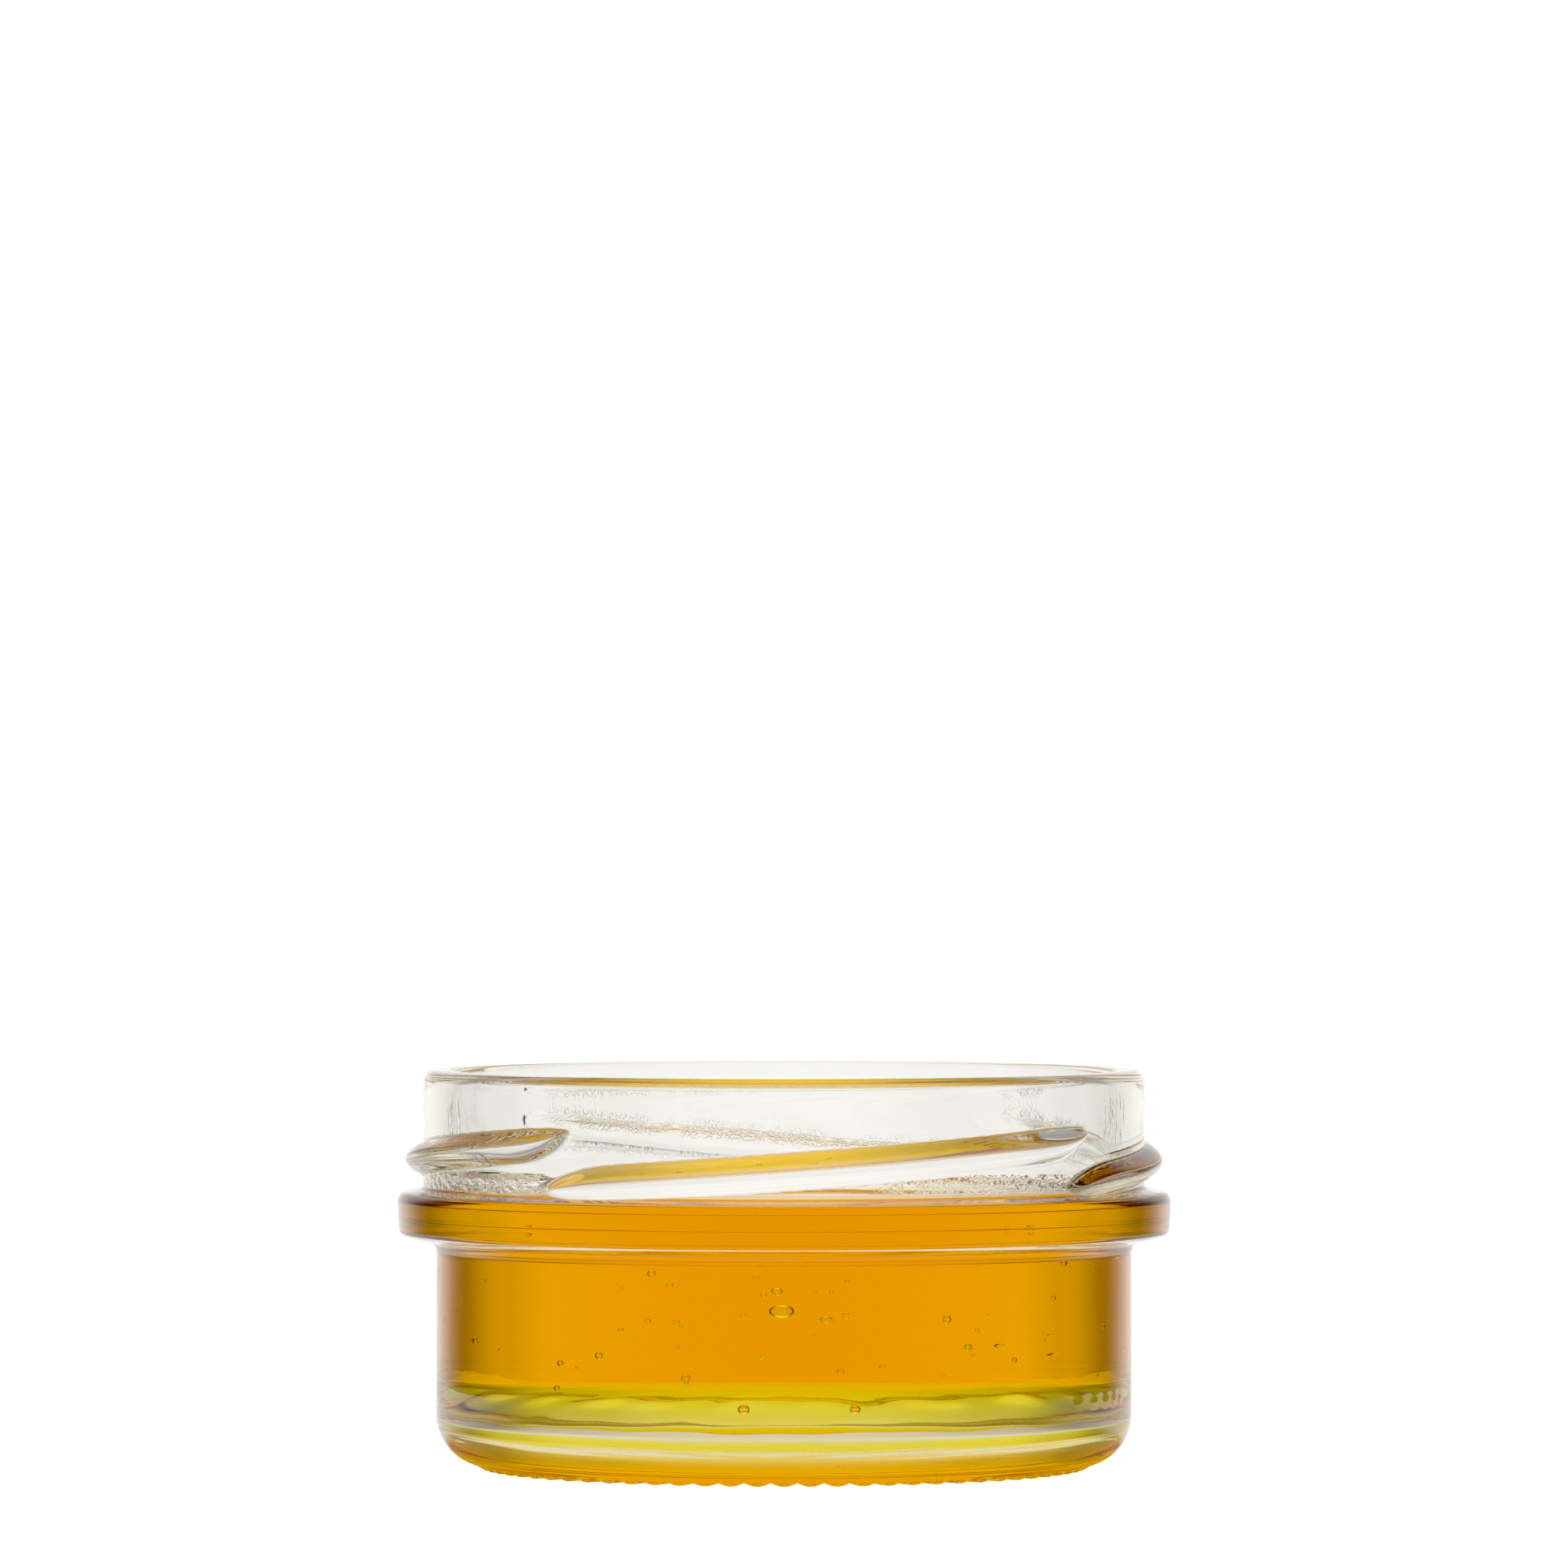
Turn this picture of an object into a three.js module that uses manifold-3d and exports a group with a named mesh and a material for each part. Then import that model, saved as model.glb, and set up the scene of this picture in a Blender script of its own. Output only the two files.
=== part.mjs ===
// A small round jar of clear pressed glass with a four-lug twist-off finish, filled with clear honey.
// Millimetres, +Z up. The origin is the centre of the circle that the jar stands on.

import * as THREE from 'three';
import { mergeVertices } from 'three/addons/utils/BufferGeometryUtils.js';
import Module from 'manifold-3d';

const wasm = await Module();
wasm.setup();

// Heights, stacked from the standing circle up to the rim
const BODY_HEIGHT = 20.0; // up to the underside of the bead
const BEAD_HEIGHT = 4.35;
const FINISH_HEIGHT = 10.25; // bead's upper face to the rim

// Radii: the neck is the standard size, and the rest steps in or out from it
const NECK_RADIUS = 31.3;
const BODY_INSET = 1.1; // body's wall inside the line of the neck
const BEAD_STAND_OUT = 2.3; // bead's side outside the line of the neck

// Glass thickness
const NECK_WALL = 3.0;
const BODY_WALL = 2.25;
const BASE_THICKNESS = 4.5; // on the axis

// Rounds and slopes of the outside
const LIP_ROUND = 1.0;
const LIP_ROUND_SHARE = 0.4; // most of the neck's wall that one lip round may take
const BEAD_TOP_ROUND = 0.9;
const BEAD_UNDER_ROUND = 0.6;
const BEAD_TOP_FALL = 0.5; // the bead's upper face slopes down outwards by this much
const BEAD_ROOT_FILLET = 1.1;
const HEEL_RADIUS = 4.4;

// Base, seen from below: a standing ring with radial bars round a pushed-up dome
const RING_WIDTH = 2.8;
const PUSH_UP = 2.9;
const BAR_COUNT = 72;
const BAR_HEIGHT = 0.4;
const BAR_ROOT_WIDTH = 1.4;
const BAR_FOOT_WIDTH = 0.7;
const BAR_OVERHANG = 1.1; // how far a bar runs out onto the heel, past the standing ring

// Floor of the cavity: a nearly flat plateau, a slope and a gutter that turns up into the wall
const PLATEAU_CROWN = 0.7;
const FLOOR_SLOPE_WIDTH = 8.0;
const GUTTER_DROP = 3.15; // plateau's middle down to the gutter
const GUTTER_RADIUS = 1.8;

// Lugs: four right-handed slanted ridges round the neck
const LUG_COUNT = 4;
const LUG_SPAN = 93; // degrees
const LUG_FIRST_ANGLE = -129; // degrees from +X to the low tip of the front lug
const LUG_LOW = 0.9; // low tip's middle above the bead
const LUG_RISE = 3.75;
const LUG_RISE_POWER = 1.05; // over 1: flatter at the low end
const LUG_HEIGHT = 3.0;
const LUG_DEPTH = 1.6;
const LUG_TAPER = 10; // degrees over which each tip sinks into the neck

// Filling
const FILL_DROP = 0.9; // honey's surface below the upper edge of the bead
const HONEY_CLEARANCE = 0.3;

// Fineness of the facets
const ROUND_SEGMENTS = 60;
const ARC_DIVISIONS = 2; // half the chords in each arc of a profile
const LUG_STEPS = 20;
const LUG_SECTION_CHORDS = 8;
const ROOT_OVERLAP = 0.4; // how far a lug or a bar is sunk into the glass that it grows from
const MERGE_DISTANCE = 1e-4; // corners closer than this are one

const bodyRadius = NECK_RADIUS - BODY_INSET;
const beadRadius = NECK_RADIUS + BEAD_STAND_OUT;
const ringRadius = bodyRadius - HEEL_RADIUS;
const ringInnerRadius = ringRadius - RING_WIDTH;
const beadTopZ = BODY_HEIGHT + BEAD_HEIGHT;
const rimZ = beadTopZ + FINISH_HEIGHT;
const fillZ = beadTopZ - FILL_DROP;
const floorZ = BAR_HEIGHT + PUSH_UP + BASE_THICKNESS;
const gutterX = bodyRadius - BODY_WALL - GUTTER_RADIUS;
const plateauRadius = gutterX - FLOOR_SLOPE_WIDTH;
const lipRound = Math.min(LIP_ROUND, LIP_ROUND_SHARE * NECK_WALL);

// A shallow dome on the axis, as the arc from its crown to its edge
function domeArc(crownZ, edgeRadius, drop) {
  const sphereRadius = (edgeRadius ** 2 + drop ** 2) / (2 * drop);
  const centreZ = crownZ - sphereRadius;
  const edgeAngle = Math.atan2(sphereRadius - drop, edgeRadius);
  return { centreZ, sphereRadius, edgeAngle };
}

// Underside, heel, body, bead, neck and the outer half of the lip, from the axis to the rim
function traceOutside(path) {
  const dome = domeArc(BAR_HEIGHT + PUSH_UP, ringInnerRadius, PUSH_UP);
  path.absarc(0, dome.centreZ, dome.sphereRadius, Math.PI / 2, dome.edgeAngle, true);
  path.lineTo(ringRadius, BAR_HEIGHT);
  path.absarc(ringRadius, BAR_HEIGHT + HEEL_RADIUS, HEEL_RADIUS, -Math.PI / 2, 0, false);

  const filletX = bodyRadius + BEAD_ROOT_FILLET;
  path.absarc(filletX, BODY_HEIGHT - BEAD_ROOT_FILLET, BEAD_ROOT_FILLET, Math.PI, Math.PI / 2, true);
  const underX = beadRadius - BEAD_UNDER_ROUND;
  path.absarc(underX, BODY_HEIGHT + BEAD_UNDER_ROUND, BEAD_UNDER_ROUND, -Math.PI / 2, 0, false);
  const shoulderX = beadRadius - BEAD_TOP_ROUND;
  const shoulderZ = beadTopZ - BEAD_TOP_FALL - BEAD_TOP_ROUND;
  path.absarc(shoulderX, shoulderZ, BEAD_TOP_ROUND, 0, Math.PI / 2, false);

  path.lineTo(NECK_RADIUS, beadTopZ);
  path.absarc(NECK_RADIUS - lipRound, rimZ - lipRound, lipRound, 0, Math.PI / 2, false);
}

// Floor and wall of the cavity, from the axis to the height topZ, drawn in from the glass by inset
function traceCavity(path, inset, topZ, topRadius) {
  const dome = domeArc(floorZ + inset, plateauRadius, PLATEAU_CROWN);
  path.absarc(0, dome.centreZ, dome.sphereRadius, Math.PI / 2, dome.edgeAngle, true);
  const gutterCentreZ = floorZ - GUTTER_DROP + GUTTER_RADIUS;
  path.absarc(gutterX, gutterCentreZ, GUTTER_RADIUS - inset, -Math.PI / 2, 0, false);
  path.lineTo(topRadius - inset, topZ);
}

// Radius of the cavity's wall at a height: it widens evenly from the gutter to the bead
function wallRadiusAt(z) {
  const lowZ = floorZ - GUTTER_DROP + GUTTER_RADIUS;
  const share = (z - lowZ) / (beadTopZ - lowZ);
  return THREE.MathUtils.lerp(bodyRadius - BODY_WALL, NECK_RADIUS - NECK_WALL, share);
}

// A profile of (radius, height) points turned about the Z axis
function turned(points) {
  const geometry = new THREE.LatheGeometry(points, ROUND_SEGMENTS);
  return geometry.rotateX(Math.PI / 2);
}

function jarProfile() {
  const outside = new THREE.Path();
  traceOutside(outside);
  const neckInner = NECK_RADIUS - NECK_WALL;
  const inside = new THREE.Path();
  traceCavity(inside, 0, beadTopZ, neckInner);
  inside.absarc(neckInner + lipRound, rimZ - lipRound, lipRound, Math.PI, Math.PI / 2, true);
  return [...outside.getPoints(ARC_DIVISIONS), ...inside.getPoints(ARC_DIVISIONS).reverse()];
}

function honeyProfile() {
  const path = new THREE.Path();
  traceCavity(path, HONEY_CLEARANCE, fillZ, wallRadiusAt(fillZ));
  path.lineTo(0, fillZ);
  return path.getPoints(ARC_DIVISIONS);
}

// Middle line of a lug: it climbs round the neck, and its two ends sink into the glass
class LugLine extends THREE.Curve {
  constructor(startAngle) {
    super();
    this.startAngle = startAngle;
  }

  getPoint(t, target = new THREE.Vector3()) {
    const angle = THREE.MathUtils.degToRad(this.startAngle + LUG_SPAN * t);
    const toTip = Math.min(t, 1 - t) * LUG_SPAN;
    const emerged = Math.min(toTip / LUG_TAPER, 1);
    const radius = NECK_RADIUS - LUG_DEPTH * (1 - emerged);
    const z = beadTopZ + LUG_LOW + LUG_RISE * t ** LUG_RISE_POWER;
    return target.set(radius * Math.cos(angle), radius * Math.sin(angle), z);
  }
}

// Half an ellipse standing out of the neck, with a flat back sunk into it
function lugSection() {
  const shape = new THREE.Shape();
  shape.moveTo(LUG_HEIGHT / 2, ROOT_OVERLAP);
  shape.lineTo(LUG_HEIGHT / 2, 0);
  for (let i = 1; i < LUG_SECTION_CHORDS; i += 1) {
    const angle = Math.PI * i / LUG_SECTION_CHORDS;
    shape.lineTo(LUG_HEIGHT / 2 * Math.cos(angle), -LUG_DEPTH * Math.sin(angle));
  }
  shape.lineTo(-LUG_HEIGHT / 2, 0);
  shape.lineTo(-LUG_HEIGHT / 2, ROOT_OVERLAP);
  shape.closePath();
  return shape;
}

function lug(index) {
  const startAngle = LUG_FIRST_ANGLE + 360 * index / LUG_COUNT;
  const options = { steps: LUG_STEPS, extrudePath: new LugLine(startAngle) };
  return new THREE.ExtrudeGeometry(lugSection(), options);
}

// One bar under the standing ring: a trapezoid section run along the radius
function bar(index) {
  const rootZ = BAR_HEIGHT + ROOT_OVERLAP;
  const shape = new THREE.Shape([
    new THREE.Vector2(-BAR_FOOT_WIDTH / 2, 0),
    new THREE.Vector2(BAR_FOOT_WIDTH / 2, 0),
    new THREE.Vector2(BAR_ROOT_WIDTH / 2, rootZ),
    new THREE.Vector2(-BAR_ROOT_WIDTH / 2, rootZ),
  ]);
  const options = { depth: RING_WIDTH + BAR_OVERHANG, bevelEnabled: false };
  const geometry = new THREE.ExtrudeGeometry(shape, options);
  geometry.rotateX(Math.PI / 2);
  geometry.translate(0, -ringInnerRadius, 0);
  return geometry.rotateZ(2 * Math.PI * (index + 0.5) / BAR_COUNT);
}

// A closed geometry as a solid that can be joined to others
function toSolid(geometry) {
  const bare = geometry.clone();
  bare.deleteAttribute('normal');
  bare.deleteAttribute('uv');
  const merged = mergeVertices(bare, MERGE_DISTANCE);
  const corners = merged.index.array;
  const triVerts = [];
  for (let i = 0; i < corners.length; i += 3) {
    const [a, b, c] = corners.subarray(i, i + 3);
    if (a !== b && b !== c && c !== a) {
      triVerts.push(a, b, c);
    }
  }
  const vertProperties = new Float32Array(merged.attributes.position.array);
  const mesh = new wasm.Mesh({ numProp: 3, vertProperties, triVerts: new Uint32Array(triVerts) });
  return new wasm.Manifold(mesh);
}

function toGeometry(solid) {
  const mesh = solid.getMesh();
  const geometry = new THREE.BufferGeometry();
  geometry.setAttribute('position', new THREE.BufferAttribute(mesh.vertProperties, 3));
  geometry.setIndex(new THREE.BufferAttribute(mesh.triVerts, 1));
  geometry.computeVertexNormals();
  return geometry;
}

function glassJar() {
  let solid = toSolid(turned(jarProfile()));
  for (let i = 0; i < LUG_COUNT; i += 1) {
    solid = solid.add(toSolid(lug(i)));
  }
  for (let i = 0; i < BAR_COUNT; i += 1) {
    solid = solid.add(toSolid(bar(i)));
  }
  const material = new THREE.MeshStandardMaterial({
    color: 0xeef2ee, roughness: 0.05, metalness: 0, transparent: true, opacity: 0.35,
  });
  const mesh = new THREE.Mesh(toGeometry(solid), material);
  mesh.name = 'glass_jar';
  return mesh;
}

function honey() {
  const solid = toSolid(turned(honeyProfile()));
  const material = new THREE.MeshStandardMaterial({ color: 0xe69801, roughness: 0.08, metalness: 0 });
  const mesh = new THREE.Mesh(toGeometry(solid), material);
  mesh.name = 'honey';
  return mesh;
}

const jar = new THREE.Group();
jar.add(glassJar(), honey());

export default jar;
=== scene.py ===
import math
import random

import bpy
import numpy as np
from bpy.props import FloatProperty, FloatVectorProperty, IntProperty, PointerProperty
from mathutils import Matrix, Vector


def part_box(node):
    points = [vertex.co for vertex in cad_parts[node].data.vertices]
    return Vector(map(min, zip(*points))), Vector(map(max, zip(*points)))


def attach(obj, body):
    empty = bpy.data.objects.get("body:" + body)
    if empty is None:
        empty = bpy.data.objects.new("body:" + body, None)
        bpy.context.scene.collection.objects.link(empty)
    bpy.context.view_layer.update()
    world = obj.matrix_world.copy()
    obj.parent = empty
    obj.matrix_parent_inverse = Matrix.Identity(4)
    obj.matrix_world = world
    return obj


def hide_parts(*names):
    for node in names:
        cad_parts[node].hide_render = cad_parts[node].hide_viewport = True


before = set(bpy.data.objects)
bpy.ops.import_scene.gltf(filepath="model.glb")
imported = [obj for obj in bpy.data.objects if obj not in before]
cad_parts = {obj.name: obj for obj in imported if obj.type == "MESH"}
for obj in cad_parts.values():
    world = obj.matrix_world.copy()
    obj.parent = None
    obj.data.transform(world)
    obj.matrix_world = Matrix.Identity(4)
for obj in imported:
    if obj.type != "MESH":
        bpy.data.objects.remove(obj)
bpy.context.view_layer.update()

bl_info = {
    "name": "Honey jar",
    "version": (1, 0, 0),
    "blender": (4, 5, 0),
    "location": "3D View > Sidebar > Honey jar",
    "description": "Presses a twist-off glass jar, pours its honey and sets a plain studio round it",
    "category": "Object",
}

MM = 0.001
BODY = "root"
GLASS_LOW, GLASS_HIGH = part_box("glass_jar")
HONEY_LOW, HONEY_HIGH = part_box("honey")

# Fineness of the meshes
COLUMNS_PER_BAR = 6
HONEY_COLUMNS = 300
ROUND_ROWS = 8
LUG_ROWS = 42
WALL_ROWS = 8

SPECKS = "chill_specks"
CRINKLES = "chill_crinkles"
STREAKS = "chill_streaks"
TOUCHING = "touching"
GLASS_IOR = 1.52
HONEY_IOR = 1.50

# Shares of the full step in refraction: at the blunted lugs behind, at their tips, and at the bubbles
BLUNT = 0.55
BLUNT_TIP = 0.93
FAINT = 0.48

# How far from a lug's tips its chill marks fade out
TIP_FADE = math.radians(14)

# Bubbles in millimetres: seen sideways, depth before (-) or behind the axis, height, width, flatness
BUBBLES = (
    (-0.2, -25.0, 14.9, 2.2, 0.6),
    (-1.7, -25.5, 16.3, 0.6, 1.0),
    (-0.6, -25.5, 16.6, 1.0, 0.7),
    (-3.5, -15.0, 14.2, 0.5, 0.9),
    (3.6, -16.0, 13.9, 1.0, 0.7),
    (5.3, -18.0, 14.3, 0.6, 1.0),
    (5.4, -14.0, 17.1, 0.4, 1.0),
    (-11.2, -22.0, 18.0, 0.75, 1.0),
    (-9.7, -19.0, 16.9, 0.6, 0.8),
    (-15.7, -20.0, 10.9, 0.7, 1.0),
    (-8.3, -22.0, 9.1, 0.75, 1.0),
    (-19.0, -17.0, 10.1, 0.6, 1.0),
    (-13.9, -16.0, 13.0, 0.5, 0.8),
    (-9.2, -14.0, 13.6, 0.6, 0.8),
    (13.8, -20.0, 14.0, 0.75, 1.0),
    (15.6, -19.0, 11.6, 0.65, 1.0),
    (16.4, -17.0, 12.9, 0.4, 1.0),
    (19.6, -15.0, 10.3, 0.5, 1.0),
    (23.9, -12.0, 18.5, 0.7, 1.0),
    (23.0, -11.0, 15.4, 0.5, 1.0),
    (-26.5, -6.0, 11.5, 0.7, 1.0),
    (-19.3, -17.0, 8.0, 0.55, 1.0),
    (-3.4, -25.2, 6.6, 1.0, 0.85),
    (6.0, -25.0, 6.6, 0.9, 0.85),
)
FINE_BUBBLES = 46

# Row of plain dots that the mould leaves above the heel, in degrees right of the front
DOT_ANGLES = (56.3, 61.5, 66.0, 70.0, 73.5)
DOT_HEIGHT = 6.4 * MM
DOT_SIZE = 1.3 * MM
DOT_RISE = 0.022 * MM
DOT_ROWS = 8

# Slow unevenness of pressed glass: waves round the jar, radians per metre along the surface, phase
WALL_WAVES = ((2, 95.0, 0.6), (3, -150.0, 2.1), (5, 230.0, 4.4), (7, -310.0, 1.2), (11, 420.0, 5.3))
FLOOR_WAVES = ((5, 210.0, 0.6), (8, -340.0, 2.1), (12, 500.0, 4.4), (17, -650.0, 1.2), (23, 800.0, 5.3))


def length(name, description, default):
    """A length property in metres."""
    return FloatProperty(
        name=name, description=description, default=default, min=0.0, precision=5, unit="LENGTH"
    )


def turn(name, description, default):
    """An angle property, its default given in degrees."""
    return FloatProperty(
        name=name, description=description, default=math.radians(default), subtype="ANGLE"
    )


def number(name, description, default):
    """A plain number property."""
    return FloatProperty(name=name, description=description, default=default, min=0.0)


def colour(name, description, default):
    """A linear colour property."""
    return FloatVectorProperty(
        name=name, description=description, default=default, min=0.0, max=1.0, size=3, subtype="COLOR"
    )


class JarSizes(bpy.types.PropertyGroup):
    """Sizes of the glass, all from the standing plane or the axis."""

    height: length("Height", "Standing plane to rim", GLASS_HIGH.z)
    bead_radius: length("Bead radius", "Side of the bead below the finish", GLASS_HIGH.x)
    neck_radius: length("Neck radius", "Outside of the neck between the lugs", 31.3 * MM)
    body_radius: length("Body radius", "Outside of the body", 30.2 * MM)
    neck_wall: length("Neck wall", "Glass thickness of the neck", 3.0 * MM)
    body_wall: length("Body wall", "Glass thickness of the body", 2.25 * MM)
    bead_bottom: length("Bead underside", "Height of the bead's underside", 20.0 * MM)
    bead_top: length("Bead top", "Height of the bead's upper face at the neck", 24.3 * MM)
    bead_fall: length("Bead fall", "Outward fall of the bead's upper face", 0.2 * MM)
    bead_slope: turn("Bead slope", "Slope of the bead's underside", 14)
    bead_bulge: length("Bead bulge", "Crown of the bead's side", 0.02 * MM)
    bead_draft: length("Bead draft", "How far the bead's side leans in downwards", 0.12 * MM)
    seam_height: length("Seam height", "Parting line of the mould on the bead", 21.75 * MM)
    seam_width: length("Seam width", "Width of the parting line", 0.3 * MM)
    seam_step: length("Seam step", "How far the parting line stands out", 0.008 * MM)
    bead_top_round: length("Bead top round", "Round of the bead's upper edge", 0.9 * MM)
    bead_under_round: length("Bead under round", "Round of the bead's lower edge", 0.6 * MM)
    root_fillet: length("Root fillet", "Hollow round where bead meets body", 1.1 * MM)
    neck_fillet: length("Neck fillet", "Hollow round where bead meets neck", 0.45 * MM)
    lip_round: length("Lip round", "Rounds on both sides of the lip's land", 1.0 * MM)
    heel_radius: length("Heel radius", "Round between body and standing ring", 4.4 * MM)
    ring_width: length("Ring width", "Width of the standing ring", 2.83 * MM)
    push_up: length("Push-up", "Rise of the dome under the base", 3.0 * MM)
    dome_power: number("Dome power", "Fullness of the dome under the base", 1.87)
    base_thickness: length("Base thickness", "Glass on the axis", 4.48 * MM)
    plateau_crown: length("Plateau crown", "Rise of the nearly flat floor", 0.7 * MM)
    slope_width: length("Floor slope width", "From the plateau's edge to the gutter", 8.02 * MM)
    slope_power: number("Slope power", "How late the floor's slope falls", 2.04)
    gutter_drop: length("Gutter drop", "Floor's middle down to the gutter", 3.16 * MM)
    gutter_radius: length("Gutter radius", "Round between floor and wall", 1.8 * MM)
    outer_waves: length("Outer waves", "Height of the slow waves outside", 0.012 * MM)
    inner_waves: length("Inner waves", "Height of the slow waves on the wall inside", 0.06 * MM)
    floor_waves: length("Floor waves", "Height of the waves on the floor inside", 0.17 * MM)
    dome_waves: length("Dome waves", "Height of the waves under the base", 0.03 * MM)
    passed: colour("Passed colour", "Colour that the clear glass lets pass", (0.795, 0.70, 0.30))
    density: number("Density", "Absorption per metre", 20.0)


class LugSizes(bpy.types.PropertyGroup):
    """Sizes of the slanted lugs and of the bars under the base."""

    count: IntProperty(name="Lugs", description="Lugs round the neck", default=4, min=1)
    span: turn("Span", "Angle from tip to tip", 92.8)
    front_low: turn("Low tip", "Angle of the front lug's low tip", -128.9)
    middle_height: length("Middle height", "Height of a lug at its middle", 27.1 * MM)
    rise: length("Rise", "Climb from tip to tip along the middle line", 3.73 * MM)
    tip_bend: length("Tip bend", "Downward bend of the low tip", 0.25 * MM)
    half_height: length("Half height", "Half the height of a lug's foot", 1.46 * MM)
    depth: length("Depth", "How far a lug stands out", 1.58 * MM)
    low_taper: turn("Low taper", "Run-out of the low tip", 12)
    high_taper: turn("High taper", "Run-out of the high tip", 10)
    bar_count: IntProperty(name="Bars", description="Bars under the standing ring", default=72, min=1)
    bar_height: length("Bar height", "Standing plane up to the ring between the bars", 0.33 * MM)
    bar_overhang: length("Bar overhang", "How far a bar runs out onto the heel", 1.1 * MM)


class HoneyLook(bpy.types.PropertyGroup):
    """Level, bubbles and colour of the honey."""

    level: length("Level", "Height of the honey's surface", HONEY_HIGH.z)
    climb: length("Climb", "How far the honey climbs the glass at its edge", 0.3 * MM)
    edge_width: length("Edge width", "Width of the climbing edge", 0.9 * MM)
    clearance: length("Clearance", "Hair's breadth kept between honey and glass", 0.03 * MM)
    passed: colour("Passed colour", "Colour that honey lets pass", (0.9946, 0.9602, 0.0))
    density: number("Density", "Absorption per metre", 480.0)


class StageLook(bpy.types.PropertyGroup):
    """Camera, backdrop and floor."""

    distance: length("Camera distance", "Camera to the jar's axis", 0.945)
    eye_height: length("Eye height", "Camera above the standing plane", 59.4 * MM)
    lens: number("Lens", "Focal length in millimetres on a 36 mm sensor", 249.8)
    edge_light: number("Edge light", "Brightness at the backdrop's edges", 0.79)
    side_light: number("Side light", "Brightness of the dim sides", 0.39)
    wing_light: number("Wing light", "Brightness straight to left and right", 0.7)
    high_light: number("High light", "Brightness high above the backdrop", 1.0)
    lift_light: number("Lift light", "Brightness just above the backdrop", 0.93)
    top_light: number("Top light", "Brightness overhead", 0.9)
    near_light: number("Near light", "Brightness of the floor close to the jar", 1.0)
    narrowing: number("Narrowing", "How much the backdrop narrows upwards", 0.13)
    near_reach: length("Near reach", "How far the floor close to the jar reaches", 150 * MM)
    # Glow and under are painted light on the floor under the jar, the amber and the tint that light
    # through the honey casts there; under is not the floor's own colour
    glow: colour("Glow", "Colour of the light on the floor under the jar", (0.74, 0.37, 0.0))
    under: colour("Under", "Colour of the floor under the jar, seen through it", (1.0, 0.89, 0.76))
    floor_colour: colour("Floor colour", "Pale floor", (0.5, 0.5, 0.5))


class Outline:
    """Points (radius, height) of a half section, added stretch by stretch."""

    def __init__(self, radius, height):
        self.points = [(radius, height)]

    def line(self, radius, height, steps=1):
        start_radius, start_height = self.points[-1]
        for i in range(1, steps + 1):
            share = i / steps
            here = start_radius + (radius - start_radius) * share
            self.points.append((here, start_height + (height - start_height) * share))

    def arc(self, radius, height, size, start, end, steps=ROUND_ROWS):
        """An arc about (radius, height); start and end are in degrees from the outward direction."""
        for i in range(steps + 1):
            angle = math.radians(start + (end - start) * i / steps)
            self.add(radius + size * math.cos(angle), height + size * math.sin(angle))

    def add(self, radius, height):
        last_radius, last_height = self.points[-1]
        if math.hypot(radius - last_radius, height - last_height) > 1e-6:
            self.points.append((radius, height))


def smooth(value):
    """A soft step from 0 to 1."""
    value = np.clip(value, 0.0, 1.0)
    return value * value * (3.0 - 2.0 * value)


def trace_outside(sizes, lugs):
    """Underside, heel, body, bead, neck and the outer lip, from the axis to the rim."""
    ring_z = lugs.bar_height
    ring_radius = sizes.body_radius - sizes.heel_radius
    ring_inner = ring_radius - sizes.ring_width
    outline = Outline(0.0, ring_z + sizes.push_up)
    dome_rows = 16
    for i in range(1, dome_rows + 1):
        radius = ring_inner * i / dome_rows
        outline.add(radius, ring_z + sizes.push_up * (1 - (i / dome_rows) ** sizes.dome_power))
    outline.line(ring_radius, ring_z, 8)
    outline.arc(ring_radius, ring_z + sizes.heel_radius, sizes.heel_radius, -90, 0, 20)

    fillet = sizes.root_fillet
    slope = math.degrees(sizes.bead_slope)
    rise = math.tan(sizes.bead_slope)
    lean = math.cos(sizes.bead_slope)
    middle = (sizes.body_radius + sizes.bead_radius) / 2
    hollow_x = sizes.body_radius + fillet
    hollow_z = sizes.bead_bottom + (hollow_x - middle) * rise - fillet / lean
    outline.line(sizes.body_radius, DOT_HEIGHT - DOT_SIZE / 2, 3)
    outline.line(sizes.body_radius, DOT_HEIGHT + DOT_SIZE / 2, DOT_ROWS)
    outline.line(sizes.body_radius, hollow_z, WALL_ROWS)
    outline.arc(hollow_x, hollow_z, fillet, 180, 90 + slope, 10)
    under = sizes.bead_under_round
    side = sizes.bead_radius - sizes.bead_bulge
    low_side = side - sizes.bead_draft
    low = sizes.bead_bottom + (low_side - under - middle) * rise + under / lean
    outline.arc(low_side - under, low, under, -90 + slope, 0, 10)
    top = sizes.bead_top_round
    shoulder = sizes.bead_top - sizes.bead_fall - top
    seam = sizes.seam_width / 2
    heights = [low + (shoulder - low) * i / WALL_ROWS for i in range(1, WALL_ROWS)]
    heights = [z for z in heights if abs(z - sizes.seam_height) > 2 * seam]
    heights += [sizes.seam_height + seam * i / 2 for i in range(-2, 3)]
    for z in sorted(heights):
        share = (z - low) / (shoulder - low)
        bulge = sizes.bead_bulge * (1 - (2 * share - 1) ** 2)
        ridge = max(0.0, 1 - abs(z - sizes.seam_height) / seam)
        lean_in = sizes.bead_draft * (1 - share)
        outline.add(side - lean_in + bulge + ridge * sizes.seam_step, z)
    outline.arc(side - top, shoulder, top, 0, 82)

    inner = sizes.neck_fillet
    outline.arc(sizes.neck_radius + inner, sizes.bead_top + inner, inner, 270, 180, 6)
    lug_top = lugs.middle_height + lugs.rise / 2 + lugs.half_height
    outline.line(sizes.neck_radius, lug_top, LUG_ROWS)
    lip = sizes.lip_round
    outline.line(sizes.neck_radius, sizes.height - lip, 3)
    outline.arc(sizes.neck_radius - lip, sizes.height - lip, lip, 0, 90)
    return outline


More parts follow.
